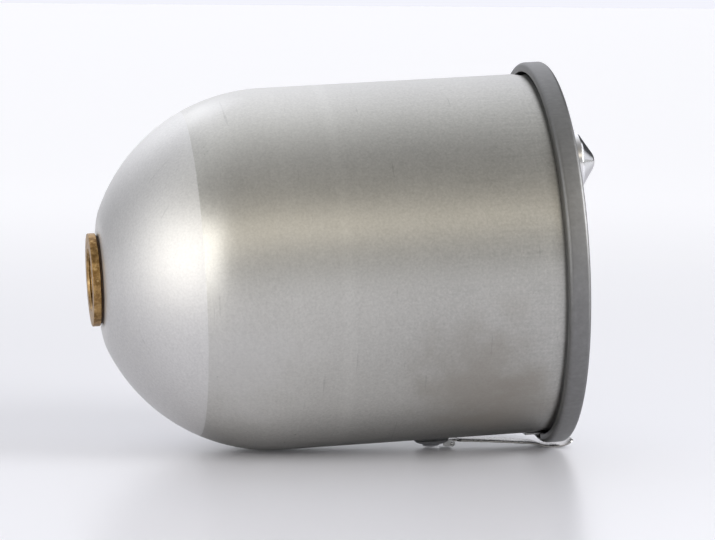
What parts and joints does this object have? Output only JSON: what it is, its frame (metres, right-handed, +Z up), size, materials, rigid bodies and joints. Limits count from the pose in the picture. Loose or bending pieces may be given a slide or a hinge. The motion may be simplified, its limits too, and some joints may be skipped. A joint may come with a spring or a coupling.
{
  "type": "air filter housing",
  "caption": "Bullet-shaped steel air filter housing with a brass outlet bush in its dome and a clipped, removable inlet cover with a rotary choke shutter.",
  "frame": {"origin": "lowest point under the middle of the housing, where the spring clip touches the ground with the housing on its side", "axes": "+X along the housing's axis from the outlet bush to the inlet cover, +Z up, away from the spring clip"},
  "size_m": [0.1426, 0.1062, 0.1077],
  "materials": {
    "body_steel": "satin, brushed",
    "cover_steel": "dark satin",
    "plated_steel": "zinc plated, satin",
    "spring_steel": "satin",
    "polished_steel": "polished",
    "bush_brass": "aged, dull",
    "wire_mesh": "woven wire",
    "filter_pad": "oiled knitted wire",
    "fibre": "pressed fibre",
    "rubber": "matt"
  },
  "bodies": {
    "housing": {"housing_shell": "body_steel", "outlet_bush": "bush_brass", "outlet_washer": "fibre", "inner_seal_washer": "fibre", "bush_lock_washer": "spring_steel", "bush_locknut": "bush_brass", "rear_support_disc": "plated_steel", "rear_screen": "wire_mesh", "filter_element": "filter_pad", "front_screen": "wire_mesh", "front_support_disc": "plated_steel", "retaining_ring": "spring_steel", "clip_bracket": "plated_steel", "clip_rivet": "polished_steel", "clip_pin": "polished_steel", "locating_lug": "plated_steel"},
    "cover": {"inlet_cover": "cover_steel", "cover_gasket": "rubber", "inlet_screen": "wire_mesh", "pivot_bolt": "polished_steel", "pivot_spring_washer": "spring_steel", "pivot_washer": "plated_steel", "pivot_nut": "plated_steel", "stop_pin": "polished_steel", "cover_tongue": "spring_steel", "tongue_rivet": "polished_steel"},
    "shutter": {"choke_shutter": "plated_steel", "choke_knob": "polished_steel", "knob_rivet": "polished_steel"},
    "clip": {"clip_leaf": "spring_steel"}
  },
  "joints": [
    {"name": "cover_pull", "type": "slide", "parent": "housing", "child": "cover", "axis": [1, 0, 0], "range_m": [0, 0.06]},
    {"name": "choke_turn", "type": "hinge", "parent": "cover", "child": "shutter", "pos_m": [0.0584, 0, 0.0546], "axis": [1, 0, 0], "range_deg": [0, 45]},
    {"name": "clip_swing", "type": "hinge", "parent": "housing", "child": "clip", "pos_m": [0.0267, 0, 0.003], "axis": [0, 1, 0], "range_deg": [0, 90]}
  ],
  "couplings": [
    {"joint": "clip_swing", "follows": "cover_pull", "rad_per_m": 26}
  ]
}
